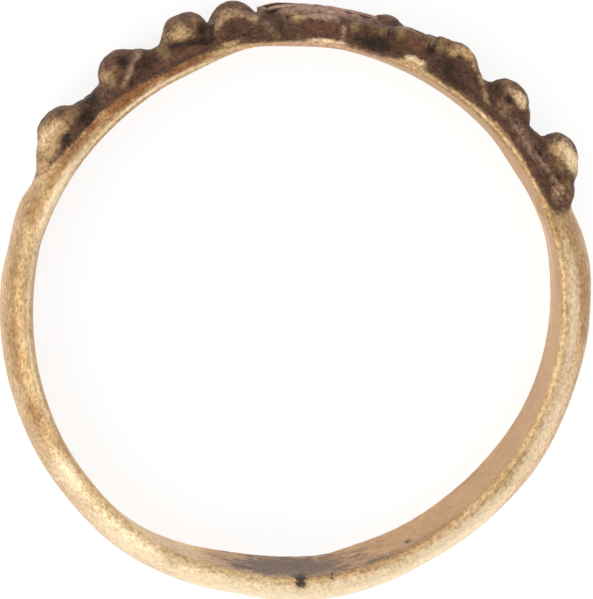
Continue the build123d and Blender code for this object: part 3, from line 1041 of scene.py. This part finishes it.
gold, ochre, dull_brass = (0.76, 0.54, 0.29, 1), (0.63, 0.405, 0.195, 1), (0.46, 0.27, 0.125, 1)
brass = blend(maths(tree, "MULTIPLY", small, 0.25), blend(broad, gold, ochre), dull_brass)
brass_stains = {
    "brown": (0.43, 0.25, 0.112, 1),
    "orange": (0.29, 0.125, 0.052, 1),
    "pale": (0.94, 0.75, 0.50, 1),
    "pink": (0.80, 0.50, 0.34, 1),
}
for kind, colour in brass_stains.items():
    brass = stained(brass, kind, colour, uneven)
wall_gold, wall_brown = (0.65, 0.40, 0.195, 1), (0.48, 0.295, 0.165, 1)
wall = blend(mix_numbers(0.5, broad, small), wall_gold, wall_brown)
wall = stained(wall, "brown", (0.36, 0.21, 0.10, 1), fine)
wall = stained(wall, "grey", (0.185, 0.122, 0.088, 1), small)
brass = stained(blend(in_bore, brass, wall), "smoke", (0.085, 0.055, 0.045, 1), fine)
print("stains on the bare brass:", len(brass_stains) + 3)

# %% [markdown]
# The crust
#
# The tarnish is a brown crust in two tones. High places are rubbed back towards bronze, stains
# show olive, copper, pink, gold or cream, and the gold and cream on the granule tops are painted
# highlights as well. Dark lies in the hollows, in the creases and where a dark stain says so: it
# is patina, and painted shade as well.

# %% Tarnish crust
umber, chestnut = (0.092, 0.044, 0.026, 1), (0.155, 0.077, 0.045, 1)
dull_umber, black_dirt_and_shade = (0.062, 0.036, 0.027, 1), (0.034, 0.022, 0.015, 1)
rubbed_bronze = (0.34, 0.205, 0.105, 1)
crust = blend(maths(tree, "MULTIPLY", fine, 0.45), blend(small, umber, chestnut), dull_umber)
high = maths(tree, "MAXIMUM", share_of(tree, hollow, -0.02, -0.11),
             share_of(tree, crease, -0.006, -0.022, 0.0, 0.8))
rubbed = maths(tree, "MULTIPLY", high, share_of(tree, small, 0.0, 1.0, 0.45, 1.0))
crust = blend(maths(tree, "MULTIPLY", rubbed, 0.65), crust, rubbed_bronze)
# gold and cream are worn metal, and on the granule tops painted highlights as well
crust_stains = {
    "olive": (0.240, 0.148, 0.066, 1),
    "copper": (0.158, 0.068, 0.043, 1),
    "pink": (0.42, 0.255, 0.185, 1),
    "gold": (0.52, 0.335, 0.168, 1),
    "cream": (0.86, 0.63, 0.38, 1),
}
for kind, colour in crust_stains.items():
    crust = stained(crust, kind, colour, uneven)
# dark patina and painted shade in the hollows, the creases and under the dark stains
low = maths(tree, "MAXIMUM", share_of(tree, hollow, 0.01, 0.09, 0.0, 0.85),
            share_of(tree, crease, 0.006, 0.020, 0.0, 0.75))
dirt_and_painted_shade = maths(tree, "MAXIMUM", low, kept_number("dark"))
crust = use(tree, stain_group, Base=crust, Stain=black_dirt_and_shade, Amount=dirt_and_painted_shade, Break=uneven)
print("stains on the crust:", len(crust_stains) + 1)

# %% [markdown]
# Crust over metal
#
# The crust covers the metal past the tarnish line, with an edge that noise makes ragged. Pits
# are darker. The sanded grain shades the colour by its lights and darks: most on the crust, less
# where the pale stains paint light on the metal, and hardly at all in the finger hole.

# %% Colour
def grain_shade(light, dark):
    """The sanded grain as a factor for the colour, from its light marks to its dark ones."""
    return share_of(tree, sanded, 0.36, 0.66, light, dark)


past_line = share_of(tree, kept_number("past_edge"), -0.12, 0.14)
tarnish = maths(tree, "MULTIPLY", kept_number("in_bezel"), past_line)
wander = maths(tree, "ADD", tarnish, about_zero(tree, mix_numbers(0.3, small, fine), 0.5))
covered = maths(tree, "MULTIPLY", share_of(tree, wander, 0.15, 0.85),
                share_of(tree, tarnish, 0.0, 0.2))
colour = blend(covered, brass, crust)
colour = blend(maths(tree, "MULTIPLY", pit, 0.35), colour, (0.06, 0.035, 0.02, 1))
# the pale stains are painted light, and the grain shades the colour less where they lie
painted_light = share_of(tree, kept_number("pale"), 0.3, 0.9)
shade = mix_numbers(painted_light, grain_shade(1.18, 0.72), grain_shade(1.12, 0.86))
shade = mix_numbers(covered, shade, grain_shade(1.26, 0.74))
shade = mix_numbers(in_bore, shade, grain_shade(1.04, 0.94))
shaded = node(tree, "ShaderNodeVectorMath", {0: colour, "Scale": shade}, operation="SCALE")
tree.links.new(shaded.outputs[0], shader.inputs["Base Color"])
print("nodes with the colour:", len(tree.nodes))

# %% [markdown]
# Gloss and relief
#
# Clean metal is a soft mirror, a little duller in the finger hole. The crust is less metallic and
# rougher. Grain, scratches and patches also go into a bump. It is about two hundredths of a
# millimetre deep and only catches the light. Every form that can be seen as one is in the mesh.

# %% Gloss and bump
clean_rough, bore_rough, crust_rough = 0.44, 0.55, 0.56
crust_metallic = 0.45
bump_depth = 0.018 * MM
tree.links.new(mix_numbers(covered, 1.0, crust_metallic), shader.inputs["Metallic"])
rough = mix_numbers(covered, mix_numbers(in_bore, clean_rough, bore_rough), crust_rough)
rough = maths(tree, "ADD", rough, about_zero(tree, sanded, 0.5))
tree.links.new(rough, shader.inputs["Roughness"])
shader.inputs["Specular IOR Level"].default_value = 0.15

grain_height = maths(tree, "ADD", sanded, maths(tree, "MULTIPLY", scratches, 0.5))
crust_height = maths(tree, "ADD", maths(tree, "MULTIPLY", fine, 1.2),
                     maths(tree, "MULTIPLY", small, 1.2))
crust_height = maths(tree, "ADD", crust_height, sanded)
height = mix_numbers(covered, grain_height, crust_height)
bump = node(tree, "ShaderNodeBump", {"Height": height, "Strength": 0.8, "Distance": bump_depth})
tree.links.new(bump.outputs[0], shader.inputs["Normal"])
print("nodes in the whole finish:", len(tree.nodes))

# %% [markdown]
# The finished piece
#
# The skin goes back to metres and takes the CAD node's place: the CAD ring is hidden and the skin
# is attached to the root body. Smooth shading hides the small triangles.

# %% Finish the piece
skin.transform(Matrix.Scale(MM, 4))
ring = new_object("ring_cast", skin)
skin.polygons.foreach_set("use_smooth", [True] * len(skin.polygons))
print("materials:", [kind.name for kind in skin.materials])
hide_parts("ring")
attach(ring, "root")

# %% [markdown]
# Floor and light
#
# The photograph has a white ground and almost no shadow, as on a lit table. A broad bright sky
# gives the brass something pale to mirror from every side, and is a little brighter on one side,
# which sets the facets apart. The floor glows a little itself, which lifts the shadow under the
# ring. It is large, so its edge stays far off in every view. One large weak lamp at the lower
# left gives the hoop its pale side there without a hard highlight.

# %% Floor and sky
floor_half = 5.0
signs = ((-1, -1), (1, -1), (1, 1), (-1, 1))
floor_corners = [(x * floor_half, y * floor_half, 0) for x, y in signs]
floor_mesh = bpy.data.meshes.new("floor")
floor_mesh.from_pydata(floor_corners, [], [(0, 1, 2, 3)])
floor = new_object("floor", floor_mesh)
paper = bpy.data.materials.new("pale_paper")
paper.use_nodes = True
paper_shader = paper.node_tree.nodes["Principled BSDF"]
paper_shader.inputs["Base Color"].default_value = (0.28, 0.28, 0.28, 1)
paper_shader.inputs["Roughness"].default_value = 0.9
paper_shader.inputs["Emission Color"].default_value = (1, 1, 1, 1)
paper_shader.inputs["Emission Strength"].default_value = 0.78
floor_mesh.materials.append(paper)

world = bpy.data.worlds.new("studio")
world.use_nodes = True
sky = world.node_tree
way = node(sky, "ShaderNodeTexCoord").outputs["Generated"]
tilted = node(sky, "ShaderNodeMapping", {"Vector": way, "Rotation": (0, 0, math.radians(40))})
across = node(sky, "ShaderNodeSeparateXYZ", {0: tilted.outputs[0]}).outputs["X"]
bright = share_of(sky, across, -0.7, 0.7, 1.12, 0.80)
sky.links.new(bright, sky.nodes["Background"].inputs["Strength"])
sky.nodes["Background"].inputs["Color"].default_value = (1, 1, 1, 1)
bpy.context.scene.world = world
print("floor:", 2 * floor_half, "m on a side")

# %% Lamp
lamp_place = Vector((-130, -120, 170))       # mm
lamp_side, lamp_power = 240, 0.12            # mm and W
lamp_data = bpy.data.lights.new("softbox", "AREA")
lamp_data.size = lamp_side * MM
lamp_data.energy = lamp_power
lamp = bpy.data.objects.new("softbox", lamp_data)
lamp.location = lamp_place * MM
lamp.rotation_euler = (-lamp_place).to_track_quat("-Z", "Y").to_euler()
bpy.context.scene.collection.objects.link(lamp)
bpy.context.scene.view_settings.view_transform = "Standard"
print("lamp:", lamp.name, lamp_side, "mm wide")
